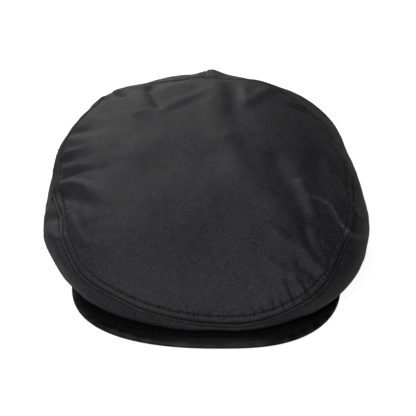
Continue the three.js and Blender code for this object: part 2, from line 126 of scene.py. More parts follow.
# Folds of the cloth. Ends: x as a share of half the width, y as a share of the length from the
# front fold, z as a share of the height. width and height in millimetres: a ridge is above 0, a
# valley below. taper: the share of its height that is gone at the far end. sharp: 2 is a soft
# swell, 1 is a crease. wax: how far the crest is rubbed lighter.
FOLDS = [
    dict(line=[(-0.83, 0.60, 0.76), (-0.67, 0.56, 0.85)],
         width=4.0, height=-1.4, taper=0.7),
    dict(line=[(-0.87, 0.53, 0.69), (-0.70, 0.50, 0.80)],
         width=2.6, height=1.0, taper=0.8),
    dict(line=[(-0.89, 0.51, 0.65), (-0.74, 0.47, 0.76)],
         width=2.6, height=-1.0, taper=0.8),
    dict(line=[(-0.89, 0.48, 0.64), (-0.68, 0.42, 0.76)],
         width=3.0, height=0.9, taper=0.7),
    dict(line=[(-0.87, 0.44, 0.63), (-0.60, 0.40, 0.77)],
         width=3.2, height=-1.6, taper=0.6, sharp=1.6),
    dict(line=[(-0.89, 0.42, 0.60), (-0.77, 0.38, 0.67), (-0.66, 0.32, 0.69)],
         width=3.8, height=2.2, taper=0.8),
    dict(line=[(-0.90, 0.40, 0.56), (-0.79, 0.34, 0.62), (-0.69, 0.28, 0.64)],
         width=5.6, height=-4.4, taper=0.75),
    dict(line=[(-0.82, 0.30, 0.55), (-0.77, 0.23, 0.54), (-0.71, 0.18, 0.51)],
         width=2.6, height=0.7),
    dict(line=[(-0.97, 0.35, 0.42), (-0.90, 0.32, 0.49)],
         width=5.0, height=-1.6),
    dict(line=[(-0.97, 0.30, 0.37), (-0.87, 0.24, 0.45)],
         width=4.5, height=1.4),
    dict(line=[(-0.63, 0.75, 0.87), (-0.53, 0.70, 0.94)],
         width=2.6, height=-1.8, sharp=1.6),
    dict(line=[(-0.59, 0.74, 0.90), (-0.50, 0.75, 0.92), (-0.38, 0.74, 0.96)],
         width=4.5, height=1.6),
    dict(line=[(-0.68, 0.74, 0.85), (-0.62, 0.73, 0.89)],
         width=4.0, height=1.4),
    dict(line=[(-0.28, 0.75, 0.97), (-0.14, 0.77, 0.98)],
         width=7.0, height=-1.3),
    dict(line=[(-0.44, 0.59, 0.94), (-0.36, 0.60, 0.95)],
         width=2.0, height=0.6),
    dict(line=[(-0.36, 0.71, 0.97), (-0.29, 0.61, 0.97)],
         width=3.8, height=-1.9, sharp=1.8),
    dict(line=[(-0.29, 0.60, 0.96), (-0.18, 0.63, 0.98), (-0.02, 0.68, 0.99)],
         width=3.8, height=1.0, taper=0.4),
    dict(line=[(-0.21, 0.60, 0.97), (-0.02, 0.65, 0.99)],
         width=4.4, height=-0.5),
    dict(line=[(0.06, 0.73, 0.99), (0.07, 0.54, 0.94)],
         width=9.0, height=1.7, taper=0.4),
    dict(line=[(0.17, 0.73, 0.99), (0.18, 0.57, 0.96)],
         width=5.5, height=-1.3, taper=0.4),
    dict(line=[(0.24, 0.70, 0.99), (0.24, 0.63, 0.98)],
         width=2.8, height=0.6),
    dict(line=[(0.26, 0.63, 0.97), (0.33, 0.68, 0.98), (0.41, 0.73, 0.95)],
         width=4.5, height=1.1),
    dict(line=[(0.55, 0.69, 0.89), (0.66, 0.71, 0.80)],
         width=2.0, height=0.8),
    dict(line=[(0.54, 0.66, 0.90), (0.65, 0.67, 0.83)],
         width=2.2, height=-0.9, sharp=1.6),
    dict(line=[(0.12, 0.46, 0.89), (0.20, 0.36, 0.83), (0.31, 0.28, 0.76), (0.48, 0.22, 0.67)],
         width=10.0, height=2.4, taper=0.3),
    dict(line=[(0.43, 0.41, 0.83), (0.49, 0.32, 0.76), (0.59, 0.23, 0.65)],
         width=8.0, height=-1.9, taper=0.3),
    dict(line=[(0.57, 0.33, 0.75), (0.60, 0.29, 0.71), (0.63, 0.24, 0.64)],
         width=4.2, height=1.6),
    dict(line=[(0.68, 0.45, 0.77), (0.70, 0.32, 0.69)],
         width=8.0, height=-2.2),
    dict(line=[(0.79, 0.40, 0.66), (0.83, 0.33, 0.60)],
         width=3.2, height=1.3),
    dict(line=[(0.42, 0.16, 0.60), (0.56, 0.14, 0.53), (0.67, 0.11, 0.42)],
         width=4.2, height=1.6),
    dict(line=[(0.58, 0.19, 0.59), (0.61, 0.15, 0.53), (0.66, 0.13, 0.46)],
         width=3.5, height=-1.8),
    dict(line=[(0.54, 0.10, 0.46), (0.63, 0.09, 0.40)],
         width=3.0, height=-1.5, sharp=1.6),
    dict(line=[(0.36, 0.10, 0.49), (0.43, 0.09, 0.45)],
         width=3.0, height=0.8),
    dict(line=[(0.51, 0.07, 0.39), (0.56, 0.05, 0.31)],
         width=2.8, height=1.0),
    dict(line=[(0.52, 0.06, 0.35), (0.56, 0.04, 0.29)],
         width=2.0, height=-0.8),
    dict(line=[(0.47, 0.07, 0.39), (0.49, 0.05, 0.34), (0.52, 0.04, 0.27)],
         width=2.2, height=-1.4, sharp=1.6),
    dict(line=[(0.68, 0.18, 0.53), (0.72, 0.17, 0.49)],
         width=2.4, height=1.0),
    dict(line=[(0.63, 0.29, 0.70), (0.68, 0.29, 0.68), (0.74, 0.28, 0.63), (0.78, 0.25, 0.58),
               (0.83, 0.23, 0.51), (0.88, 0.23, 0.46), (0.96, 0.27, 0.37)],
         width=2.0, height=1.5, sharp=1.2, wax=1.0),
    dict(line=[(0.87, 0.39, 0.56), (0.88, 0.34, 0.54), (0.92, 0.32, 0.50), (0.95, 0.32, 0.45)],
         width=1.8, height=1.1, sharp=1.2, wax=0.9),
    dict(line=[(0.90, 0.49, 0.59), (0.88, 0.43, 0.59), (0.87, 0.39, 0.56)],
         width=1.8, height=0.9, sharp=1.2, wax=0.9),
    dict(line=[(0.79, 0.58, 0.72), (0.82, 0.55, 0.68), (0.86, 0.52, 0.65), (0.90, 0.49, 0.59)],
         width=2.2, height=0.9, sharp=1.2, wax=1.0),
    dict(line=[(0.83, 0.23, 0.51), (0.89, 0.24, 0.46), (0.95, 0.26, 0.39)],
         width=1.8, height=1.2, sharp=1.2, wax=1.0),
    dict(line=[(0.91, 0.50, 0.58), (0.93, 0.49, 0.54), (0.94, 0.46, 0.50)],
         width=1.6, height=0.6, sharp=1.2, wax=0.6),
]

# Small pleats where the top panel is eased into its seam. Angles in degrees, the rest in mm.
PLEATS = [
    dict(angle=-31, depth=0.3, length=5.0),
    dict(angle=-22, depth=0.25, length=5.0),
    dict(angle=-12, depth=0.25, length=4.0),
    dict(angle=3, depth=0.3, length=4.5),
    dict(angle=10, depth=0.5, length=6.0),
    dict(angle=15, depth=0.6, length=8.0),
    dict(angle=18, depth=0.35, length=5.0),
    dict(angle=23, depth=0.7, length=9.0),
    dict(angle=26.5, depth=0.45, length=6.0),
    dict(angle=31, depth=0.6, length=9.0),
    dict(angle=37, depth=0.4, length=7.0),
    dict(angle=45, depth=0.35, length=6.0),
    dict(angle=53, depth=0.4, length=6.0),
    dict(angle=284, depth=0.5, length=5.0),
    dict(angle=296, depth=0.5, length=5.0),
]
PLEAT_WIDTH = 1.3
PLEAT_START = 1.0

# Threads, in millimetres. The taper gives the thickness along one stitch, as shares.
STITCH_PITCH = 3.3
STITCH_LENGTH = 2.4
THREAD_RADIUS = 0.26
THREAD_TAPER = (0.5, 0.95, 1, 1, 0.95, 0.5)
THREAD_SIDES = 6
STITCH_LEAN = 0.06
STITCH_LIFT = 0.12
STITCH_DIVE = 0.5

# Where the rows of stitches run, as distances from the seam or the edge beside them
UPPER_ROW = 4.6
LOWER_ROW = 2.6
BACK_ROW = 2.6
HEM_ROW = 6.0
PEAK_ROW = 5.5

# The gap where the panels meet, narrower than between the solids, and the ditches of the seams
# and of the rows of stitches, deepest at the needle holes
SEAM_GAP = 0.18
SEAM_DITCH = 0.85
SEAM_DITCH_WIDTH = 0.9
ROW_DITCH = 0.45
ROW_DITCH_WIDTH = 0.7
HOLE_DEPTH = 1.25
HOLE_CHANGE = 0.6
BACK_SEAM_DITCH = 0.9
BACK_SEAM_WIDTH = 0.9

# The welt between the seam and the upper row
WELT_RISE = 0.55
WELT_START = 1.2
WELT_END = 0.9
WELT_FALL = 1.4
WELT_DIP = 0.25

# Puckers along the rows: rise, size and reach in millimetres
PUCKER_RISE = 0.28
PUCKER_SIZE = 4.6
PUCKER_REACH = 7.0
PUCKER_START = 1.5
PUCKER_PATCH = 60.0
PUCKER_MEAN = 0.55
PUCKER_CHANGE = 0.45
SIDE_PUCKER_SHARE = 0.7
SIDE_PUCKER_SIZE = 5.0
SIDE_PUCKER_REACH = 4.0

# Soft unevenness of the whole cloth
SOFT_RISE = 0.55
SOFT_SIZE = 42.0
CRUMPLE_RISE = 0.16
CRUMPLE_SIZE = 13.0
HEM_CALM = 16.0
HEM_FLAT = 3.0
HEM_TURN = 0.6

# Where the cloth lies over the peak no fold bulges down. It fades in as the cloth faces down,
# round to this cosine of the angle from the front.
DOWN_FROM = 0.1
DOWN_SPAN = 0.3
OVER_PEAK_END = -0.2

# The peak's stitched rim
PEAK_RIM_RISE = 0.25
PEAK_RIM_SLOPE = 1.0
PEAK_PUCKER_RISE = 0.12
PEAK_PUCKER_SIZE = 5.0
PEAK_SOFT_RISE = 0.15
PEAK_RIM_SHARE = 0.25

# Wear and painted light: above 0 the wax is rubbed lighter, on the peak's edge with a painted highlight;
# below 0 is painted shade in the ditches
SEAM_RUB = 0.24
SEAM_RUB_PLACE = 1.0
SEAM_RUB_WIDTH = 0.8
SEAM_RUB_PATCH = 17.0
SEAM_RUB_CONTRAST = 1.4
HEM_RUB = 0.35
HEM_RUB_WIDTH = 1.5
# The peak's rubbed rim and edge, lightened further as a painted highlight along the front edge
PEAK_RUB_AND_HIGHLIGHT = 0.34
PEAK_EDGE_RUB_AND_HIGHLIGHT = 0.16
PEAK_EDGE_WIDTH = 1.2
PEAK_RUB_AND_HIGHLIGHT_PATCH = 9.0
PEAK_RUB_AND_HIGHLIGHT_CONTRAST = 1.3
FOLD_WAX_WIDTH = 0.4
# Painted shade in the ditches of the seams and stitch rows, stronger on the centre back seam and its rows,
# eased round the back
PAINTED_DITCH_SHADE = 0.9
PAINTED_DITCH_SHADE_WIDTH = 0.75
BACK_SEAM_PAINTED_SHADE = 1.4
BACK_ROW_PAINTED_SHADE = 0.7
BACK_SHADE_EASING = 0.75
BACK_SHADE_EASING_SPREAD = 38

# Finish of the cloth. Noises: scale per metre. Shades: what darkest and lightest multiply by.
WEAVE_PITCH = 0.42
GRAIN = dict(scale=980.0, detail=2.0, rough=0.75)
MOTTLE = dict(scale=260.0, detail=3.0, rough=0.6)
BLOOM = dict(scale=34.0, detail=4.0, rough=0.6)
TINT = dict(scale=110.0, detail=4.0, rough=0.65)
SPECKS = dict(scale=1300.0, detail=1.0, rough=0.5)
NOISE_MIDDLE = (0.3, 0.7)
GRAIN_SHADE = (0.1, 1.95)
MOTTLE_SHADE = (0.88, 1.12)
BLOOM_SHADE = (0.94, 1.06)
WEAVE_SHADE = (0.8, 1.2)
# How far the painted shade in the ditches darkens
PAINTED_SHADE_TONES = (0.22, 1.0)
TINTS = (("Red", 0.07), ("Green", -0.02), ("Blue", 0.05))
TINT_RANGE = (0.35, 0.65)
SPECK_RANGE = (0.64, 0.78)
SPECK_STRENGTH = 0.5
RUB_RANGE = (0.35, 0.6)
RUB_SHARE = (0.35, 1.0)
RUB_SMOOTHING = 0.06
BLOOM_GLOSS = (-0.02, 0.03)
GRAIN_GLOSS = (-0.05, 0.05)
SHEEN_ROUGHNESS = 0.5
GRAIN_DEPTH = 0.6
WEAVE_DEPTH = 0.4
MOTTLE_RELIEF = dict(strength=0.35, distance=0.0006)
FINE_RELIEF = dict(strength=0.8, distance=0.0003)
THREAD_COLOURS = ((0.008, 0.008, 0.009, 1), (0.035, 0.035, 0.038, 1))
THREAD_TWIST = 1400.0

# How finely the surfaces are divided
FOLD_STRETCH = 9.0
COLUMNS = 1152
FINE_STEP = 0.42
FINE_BAND = 8.4
MIDDLE_STEP = 1.05
MIDDLE_BAND = 30.0
HEM_STEP = 0.5
HEM_BAND_PAST = 2
CENTRE_ROWS = 44
SIDE_ROWS = 52
LINING_START = [0, 1, 6]
LINING_FROM = 12
LINING_EVERY = 4
PEAK_COLUMNS = 361
PEAK_INNER_ROWS = 14
PEAK_RIM_ROWS = 30
PEAK_NOSE_ROWS = 10
PEAK_LINE_ENDS = 12
BACK_COLUMNS = 40
BACK_LINE_ROWS = slice(4, -3)
DENSE = 300
SAMPLE_COLUMNS = 360
SAMPLE_EVERY = 4
WAVE_COUNT = 28
WAVE_LENGTHS = (0.7, 1.6)
WAVE_CALM = 1.6

SEED = 7


def along_length(share):
    return FRONT_FOLD + share * CROWN_LENGTH


def smooth(t):
    t = np.clip(t, 0.0, 1.0)
    return t * t * (3 - 2 * t)


def bump(away, width):
    return np.exp(-(away / width) ** 2)


def unit(v):
    return v / np.maximum(np.linalg.norm(v, axis=-1, keepdims=True), 1e-9)


# Outline of the crown, as in the solids

def arch_rise(angle):
    end = math.cos(PEAK_ROOT_ANGLE)
    share = np.clip((np.cos(angle) - end) / (1 - end), 0, 1)
    return PEAK_ARCH * share ** ARCH_POWER


def hem_rise(angle):
    away = np.abs(angle - 2 * np.pi * np.round(angle / (2 * np.pi)))
    fall = (away - PEAK_ROOT_ANGLE) / (HEM_DOWN_ANGLE - PEAK_ROOT_ANGLE)
    return (ROOT_TOP + PEAK_GAP) * (1 - smooth(fall)) + arch_rise(away)


def outline(angle, half, widest, front, back, square):
    c, s = np.cos(angle), np.sin(angle)
    reach = np.where(c > 0, widest - front, back - widest)
    power = np.where(c > 0, square[0], square[1])
    radius = (np.abs(c / reach) ** power + np.abs(s / half) ** power) ** (-1 / power)
    return radius * s, widest - radius * c


def hem_points(angle):
    half = OPENING_WIDTH / 2 + CLOTH
    square = (HEM_SQUARENESS, HEM_SQUARENESS)
    x, y = outline(angle, half, HEM_MIDDLE, HEM_FRONT, HEM_BACK, square)
    return np.stack([x, y, hem_rise(angle)], -1)


def turn_between(angle, degrees):
    away = angle - math.radians(degrees)
    return away - 2 * np.pi * np.round(away / (2 * np.pi))


def spread_at(table, section, angle):
    total = np.zeros_like(angle)
    for row in table:
        away = turn_between(angle, row["angle"]) / math.radians(row["spread"])
        total += row.get(section["name"], 0.0) * np.exp(-away ** 2)
    return total


def section_points(section, angle):
    x, y = outline(angle, section["half"] * HALF_WIDTH, along_length(section["widest"]),
                   along_length(section["front"]), along_length(section["back"]), section["square"])
    forward = np.maximum(np.cos(angle), 0)
    backward = np.maximum(-np.cos(angle), 0)
    leftness = (1 + np.sin(angle)) / 2
    side = CROWN_HEIGHT * (section["right_rise"] * (1 - leftness) + section["left_rise"] * leftness)
    front = FRONT_BASE + section["front_rise"] * CROWN_HEIGHT
    back = section["back_rise"] * CROWN_HEIGHT
    front_hold, back_hold = section["hold"]
    z = side + (front - side) * forward ** front_hold + (back - side) * backward ** back_hold
    if section["name"] == "shoulder":
        z = z + BACK_POINT_RISE * bump(x - BACK_POINT_SIDE, BACK_POINT_WIDTH) * (backward > 0)
    z = z + spread_at(LIFTS, section, angle)
    pull = spread_at(PULLS, section, angle)
    x = x + pull * np.sin(angle)
    y = y - pull * np.cos(angle)
    return np.stack([x + section["lean"] * CROWN_WIDTH * forward ** LEAN_POWER, y, z], -1)


def top_plane(y):
    from_centre = (y - along_length(TOP_CENTRE)) / CROWN_LENGTH
    return CROWN_HEIGHT * (TOP_CENTRE_RISE + TOP_SLOPE * from_centre)


def top_points(angle, reach):
    seam = section_points(SEAM, angle)
    x = reach * seam[..., 0]
    y = along_length(TOP_CENTRE) * (1 - reach) + reach * seam[..., 1]
    drop = TOP_FLAT_DROP * reach ** 2 + TOP_RIM_DROP * reach ** 5
    return np.stack([x, y, top_plane(y) - (top_plane(seam[..., 1]) - seam[..., 2]) * drop], -1)


def spline(p0, p1, p2, p3, t):
    """A centripetal Catmull-Rom stretch from p1 to p2."""
    def step(a, b):
        return np.maximum(np.linalg.norm(a - b, axis=-1, keepdims=True), 1e-6) ** 0.5
    t1 = step(p0, p1)
    t2 = t1 + step(p1, p2)
    t3 = t2 + step(p2, p3)
    at = t1 + t * (t2 - t1)
    a1 = (t1 - at) / t1 * p0 + at / t1 * p1
    a2 = (t2 - at) / (t2 - t1) * p1 + (at - t1) / (t2 - t1) * p2
    a3 = (t3 - at) / (t3 - t2) * p2 + (at - t2) / (t3 - t2) * p3
    b1 = (t2 - at) / t2 * a1 + at / t2 * a2
    b2 = (t3 - at) / (t3 - t1) * a2 + (at - t1) / (t3 - t1) * a3
    return (t2 - at) / (t2 - t1) * b1 + (at - t1) / (t2 - t1) * b2


def side_meridians(angle):
    """Points from the seam down to the hem, densely, for every angle."""
    rows = [hem_points(angle)] + [section_points(s, angle) for s in SECTIONS]
    rows.append(top_points(angle, np.full_like(angle, TOP_SHAPING_REACH)))
    inside = rows[0] + (rows[0] - rows[1]) * np.array(HEM_CARRY_ON)
    control = [inside] + rows
    dense = []
    for v in np.linspace(0, len(SECTIONS), DENSE):
        i = min(int(v), len(SECTIONS) - 1)
        dense.append(spline(control[i], control[i + 1], control[i + 2], control[i + 3], v - i))
    return np.array(dense)[::-1]


def top_meridians(angle):
    """Points from the seam in to the centre, densely, for every angle."""
    return np.array([top_points(angle, np.full_like(angle, r)) for r in np.linspace(1, 0, DENSE)])


def resample(dense, near, far_rows, end=None):
    """Rows at fixed distances near the seam, then evenly on, and at fixed distances from the end."""
    steps = np.linalg.norm(np.diff(dense, axis=0), axis=-1)
    run = np.concatenate([np.zeros((1, dense.shape[1])), np.cumsum(steps, axis=0)])
    total = run[-1]
    end = np.zeros(1) if end is None else end
    spread = np.linspace(0, 1, far_rows + 1)[1:, None]
    targets = np.concatenate([
        np.repeat(near[:, None], len(total), axis=1),
        near[-1] + (total - end[0] - near[-1]) * spread,
        total - end[1:, None],
    ])
    grid = np.empty((len(targets), len(total), 3))
    for j in range(len(total)):
        for k in range(3):
            grid[:, j, k] = np.interp(targets[:, j], run[:, j], dense[:, j, k])
    return grid, targets


def grid_normals(grid):
    """Outward directions of rows that run inwards or downwards from the seam."""
    along = np.roll(grid, -1, axis=1) - np.roll(grid, 1, axis=1)
    across = np.gradient(grid, axis=0)
    return unit(np.cross(along, across))


# Shape of the cloth

class Waves:
    """A sum of seeded sine waves: a soft uneven field in space, near -1 to 1."""

    def __init__(self, seed, wavelength, count=WAVE_COUNT):
        rng = np.random.default_rng(seed)
        directions = unit(rng.normal(size=(count, 3)))
        lengths = wavelength * rng.uniform(*WAVE_LENGTHS, count)
        self.k = directions * (2 * np.pi / lengths)[:, None]
        self.phase = rng.uniform(0, 2 * np.pi, count)
        self.scale = math.sqrt(2 / count) / WAVE_CALM

    def __call__(self, p):
        total = np.zeros(p.shape[:-1])
        for k, phase in zip(self.k, self.phase):
            total += np.sin(p @ k + phase)
        return total * self.scale


def cloth_samples():
    """Points spread over the smooth cloth, and the outward directions there."""
    angles = np.linspace(0, 2 * np.pi, SAMPLE_COLUMNS, endpoint=False)
    side = side_meridians(angles)[::SAMPLE_EVERY]
    top = top_meridians(angles)[::SAMPLE_EVERY]
    directions = np.concatenate([-grid_normals(side), grid_normals(top)])
    return np.concatenate([side, top]).reshape(-1, 3), directions.reshape(-1, 3)


def on_cloth(point, samples, directions):
    nearest = np.argmin(((samples - point) ** 2).sum(-1))
    return point - np.dot(point - samples[nearest], directions[nearest]) * directions[nearest]


def fold_end(p):
    return np.array([p[0] * HALF_WIDTH, along_length(p[1]), p[2] * CROWN_HEIGHT])


def fold_lines():
    """Each fold's line laid on the cloth, in short straight stretches."""
    samples = cloth_samples()
    lines = []
    for fold in FOLDS:
        ends = [fold_end(p) for p in fold["line"]]
        line = [on_cloth(ends[0], *samples)]
        for a, b in zip(ends, ends[1:]):
            count = math.ceil(np.linalg.norm(b - a) / FOLD_STRETCH)
            line += [on_cloth(a + (b - a) * (i + 1) / count, *samples) for i in range(count)]
        lines.append(line)
    return lines


def distance_to(points, ends):
    """Distance to a line of straight stretches, and the share of its length reached there."""
    lengths = [np.linalg.norm(b - a) for a, b in zip(ends, ends[1:])]
    best = np.full(points.shape[:-1], np.inf)
    reached = np.zeros(points.shape[:-1])
    start = 0.0
    for a, b, length in zip(ends, ends[1:], lengths):
        t = np.clip(((points - a) @ (b - a)) / length ** 2, 0, 1)
        away = np.linalg.norm(points - (a + t[..., None] * (b - a)), axis=-1)
        reached = np.where(away < best, (start + t * length) / sum(lengths), reached)
        best = np.minimum(best, away)
        start += length
    return best, reached


FOLD_LINES = fold_lines()


def folds(points):
    """Height of the folds at each point, and how far the wax is rubbed there."""
    height = np.zeros(points.shape[:-1])
    wax = np.zeros(points.shape[:-1])
    for fold, line in zip(FOLDS, FOLD_LINES):
        away, reached = distance_to(points, line)
        share = np.exp(-(away / fold["width"]) ** fold.get("sharp", 2.0))
        height += fold["height"] * share * (1 - fold.get("taper", 0.0) * reached)
        if "wax" in fold:
            wax = np.maximum(wax, fold["wax"] * bump(away, FOLD_WAX_WIDTH * fold["width"]))
    return height, wax


def line_length(path):
    """Distance along a line at each of its points."""
    return np.concatenate([[0], np.cumsum(np.linalg.norm(np.diff(path, axis=0), axis=-1))])


def seam_length(seam):
    """Distance along the seam at each column, and in all."""
    steps = np.linalg.norm(np.roll(seam, -1, axis=0) - seam, axis=-1)
    return np.concatenate([[0], np.cumsum(steps)[:-1]]), steps.sum()


def stitch_wave(run, total):
    """0 at the needle holes and 1 between them, a whole number of stitches round."""
    count = round(total / STITCH_PITCH)
    return 0.5 - 0.5 * np.cos(2 * np.pi * run * count / total)


def row_ditch(away, wave):
    """Depth of the furrow along a row of stitches."""
    return ROW_DITCH * bump(away, ROW_DITCH_WIDTH) * (HOLE_DEPTH - HOLE_CHANGE * wave)


def top_relief(distance, run, total, points):
    """Welt, ditches and puckers beside the seam on the top panel."""
    wave = stitch_wave(run, total)
    welt = smooth(distance / WELT_START) * (1 - smooth((distance - UPPER_ROW + WELT_END) / WELT_FALL))
    relief = WELT_RISE * welt * (1 - WELT_DIP + WELT_DIP * wave)
    relief -= SEAM_DITCH * bump(distance, SEAM_DITCH_WIDTH)
    relief -= row_ditch(distance - UPPER_ROW, wave)
    past = distance - UPPER_ROW
    uneven = Waves(SEED + 1, PUCKER_SIZE)(points)
    strength = PUCKER_MEAN + PUCKER_CHANGE * Waves(SEED + 2, PUCKER_PATCH)(points)
    fade = np.where(past > 0, bump(past, PUCKER_REACH), bump(past, PUCKER_START))
    return relief + PUCKER_RISE * uneven * strength * fade + pleats(past, run, total)


def pleats(past, run, total):
    """Narrow valleys that start at the upper row of stitches and run in over the top panel."""
    relief = np.zeros(np.broadcast_shapes(past.shape, run.shape))
    places = np.interp([p["angle"] % 360 for p in PLEATS], np.degrees(ANGLES), run[0])
    for pleat, place in zip(PLEATS, places):
        away = run - place
        away = away - total * np.round(away / total)
        reach = np.where(past > 0, bump(past, pleat["length"]), bump(past, PLEAT_START))
        relief -= pleat["depth"] * bump(away, PLEAT_WIDTH) * reach
    return relief


def side_relief(distance, run, total, points):
    """Ditches and puckers beside the seam on the side panel."""
    wave = stitch_wave(run, total)
    relief = -SEAM_DITCH * bump(distance, SEAM_DITCH_WIDTH)
    relief -= row_ditch(distance - LOWER_ROW, wave)
    uneven = Waves(SEED + 3, SIDE_PUCKER_SIZE)(points)
    return relief + SIDE_PUCKER_SHARE * PUCKER_RISE * uneven * bump(distance - LOWER_ROW, SIDE_PUCKER_REACH)


SOFTNESS = Waves(SEED + 4, SOFT_SIZE)
CRUMPLE = Waves(SEED + 5, CRUMPLE_SIZE)


def cloth_relief(points):
    return SOFT_RISE * SOFTNESS(points) + CRUMPLE_RISE * CRUMPLE(points)


def patches(seed, size, contrast, points):
    """Soft-edged patches between 0 and 1."""
    return smooth(0.5 + contrast * Waves(seed, size)(points))


# Meshes

class Solid:
    """Collects rows of points, with how worn they are and the light and shade painted on them, and where
    they lie on the flat cloth.
    """

    def __init__(self, start=0):
        self.points = []
        self.wear_and_painted_light = []
        self.flat = []
        self.faces = []
        self.count = start

    def row(self, points, wear_and_painted_light, flat):
        self.points.append(points)
        self.wear_and_painted_light.append(wear_and_painted_light)
        self.flat.append(flat)
        start = self.count
        self.count += len(points)
        return np.arange(start, self.count)

    def strip(self, first, second, closed=True):
        """Quads between two rows, or triangles where the second has half as many points."""
        n = len(first)
        if len(second) == n:
            j = np.arange(n if closed else n - 1)
            k = (j + 1) % n
            self.faces += np.stack([first[j], first[k], second[k], second[j]], -1).tolist()
            return
        even = np.arange(0, n, 2)
        m = len(second)
        near, far = second[even // 2], second[(even // 2 + 1) % m]
        a, b, c = first[even], first[(even + 1) % n], first[(even + 2) % n]
        self.faces += np.stack([a, b, near], -1).tolist()
        self.faces += np.stack([b, far, near], -1).tolist()
        self.faces += np.stack([b, c, far], -1).tolist()

    def fan(self, row, centre):
        for j in range(len(row)):
            self.faces.append([row[j], row[(j + 1) % len(row)], centre])

    def turn(self):
        self.faces = [face[::-1] for face in self.faces]

    def take(self, other):
        self.points += other.points
        self.wear_and_painted_light += other.wear_and_painted_light
        self.flat += other.flat
        self.faces += other.faces
        self.count = max(self.count, other.count)

    def piece(self, name, material):
        return mesh_piece(name, material, np.concatenate(self.points), self.faces,
                          np.concatenate(self.wear_and_painted_light), np.concatenate(self.flat))


def mesh_piece(name, material, points, faces, wear_and_painted_light, flat):
    """One mesh object, with its wear and painted light and shade and its place on the flat cloth kept for
    the finish.
    """
    mesh = bpy.data.meshes.new(name)
    mesh.from_pydata((points * MILLIMETRE).tolist(), [], faces)
    layer = mesh.attributes.new("wear_and_painted_light", "FLOAT", "POINT")
    layer.data.foreach_set("value", wear_and_painted_light.astype(np.float32))
    corners = np.empty(len(mesh.loops), dtype=np.int32)
    mesh.loops.foreach_get("vertex_index", corners)
    cloth = mesh.uv_layers.new(name="cloth")
    cloth.data.foreach_set("uv", (flat[corners] * MILLIMETRE).astype(np.float32).ravel())
    mesh.polygons.foreach_set("use_smooth", [True] * len(mesh.polygons))
    mesh.materials.append(material)
    mesh.update()
    piece = bpy.data.objects.new(name, mesh)
    bpy.context.scene.collection.objects.link(piece)
    return piece


def add_surface(solid, rows, wear_and_painted_light, flat, levels):
    """Adds rows, each with every 2 to the level-th point, and the strips between them."""
    kept = []
    for row, worn_and_painted, place, level in zip(rows, wear_and_painted_light, flat, levels):
        step = 2 ** level
        kept.append(solid.row(row[::step], worn_and_painted[::step], place[::step]))
    for first, second in zip(kept, kept[1:]):
        solid.strip(first, second)
    return kept


ANGLES = np.linspace(0, 2 * np.pi, COLUMNS, endpoint=False)
NEAR = np.arange(0, FINE_BAND + 0.01, FINE_STEP)
MIDDLE = np.arange(FINE_BAND + MIDDLE_STEP, MIDDLE_BAND, MIDDLE_STEP)
HEM_BAND = np.arange(HEM_ROW + HEM_BAND_PAST, -0.01, -HEM_STEP)


def apart(grid):
    """Moves the first row off the seam by half of the gap."""
    first = grid[0] + unit(grid[1] - grid[0]) * SEAM_GAP / 2
    return np.concatenate([first[None], grid[1:]])


def seam_wear(distance, points):
    """Wax rubbed off the welt's edge, in patches."""
    patchy = patches(SEED + 6, SEAM_RUB_PATCH, SEAM_RUB_CONTRAST, points)
    return SEAM_RUB * bump(distance - SEAM_RUB_PLACE, SEAM_RUB_WIDTH) * patchy


def ditch_painted_shade(*aways):
    """Painted shade in the ditches, as values below 0, weaker round the back."""
    to_back = np.abs(np.degrees(ANGLES) % 360 - 180)[None]
    strength = 1 - BACK_SHADE_EASING * bump(to_back, BACK_SHADE_EASING_SPREAD)
    return -PAINTED_DITCH_SHADE * strength * np.max([bump(away, PAINTED_DITCH_SHADE_WIDTH) for away in aways], axis=0)


def crown_top(material):
    grid, distance = resample(top_meridians(ANGLES), np.concatenate([NEAR, MIDDLE]), CENTRE_ROWS)
    normals = grid_normals(grid)
    normals[-1] = unit(np.array([0, -TOP_SLOPE * CROWN_HEIGHT, CROWN_LENGTH]))
    run, total = seam_length(grid[0])
    height, wax = folds(grid)
    height = height + cloth_relief(grid)
    relief = top_relief(distance, run[None], total, grid)
    outer = apart(grid + normals * (height + relief)[..., None])
    inner = apart(grid + normals * (height - CLOTH)[..., None])
    wear_and_painted_light = np.maximum(wax, seam_wear(distance, grid))
    # Painted shade in the seam ditch and along the upper row of stitches, below 0
    wear_and_painted_light = wear_and_painted_light + ditch_painted_shade(distance, distance - UPPER_ROW) * (1 - wax)
    flat = grid[..., :2]
    last = len(grid) - 1
    levels = np.where(distance.mean(1) < FINE_BAND, 0, 1)
    levels[-CENTRE_ROWS:] = 2
    levels[-CENTRE_ROWS // 4:] = 3
    solid = Solid()
    outside = add_surface(solid, outer[:last], wear_and_painted_light[:last], flat[:last], levels[:last])
    solid.fan(outside[-1], solid.row(outer[last][:1], wear_and_painted_light[last][:1], flat[last][:1])[0])
    picks = LINING_START + list(range(LINING_FROM, last, LINING_EVERY))
    levels = [0, 1, 2] + [3] * (len(picks) - 3)
    lining = Solid(solid.count)
    inside = add_surface(lining, inner[picks], 0 * wear_and_painted_light[picks], flat[picks], levels)
    lining.fan(inside[-1], lining.row(inner[last][:1], wear_and_painted_light[last][:1], flat[last][:1])[0])
    lining.turn()
    solid.take(lining)
    solid.strip(inside[0], outside[0])
    return solid.piece("crown_top_cloth", material), outer, normals, distance


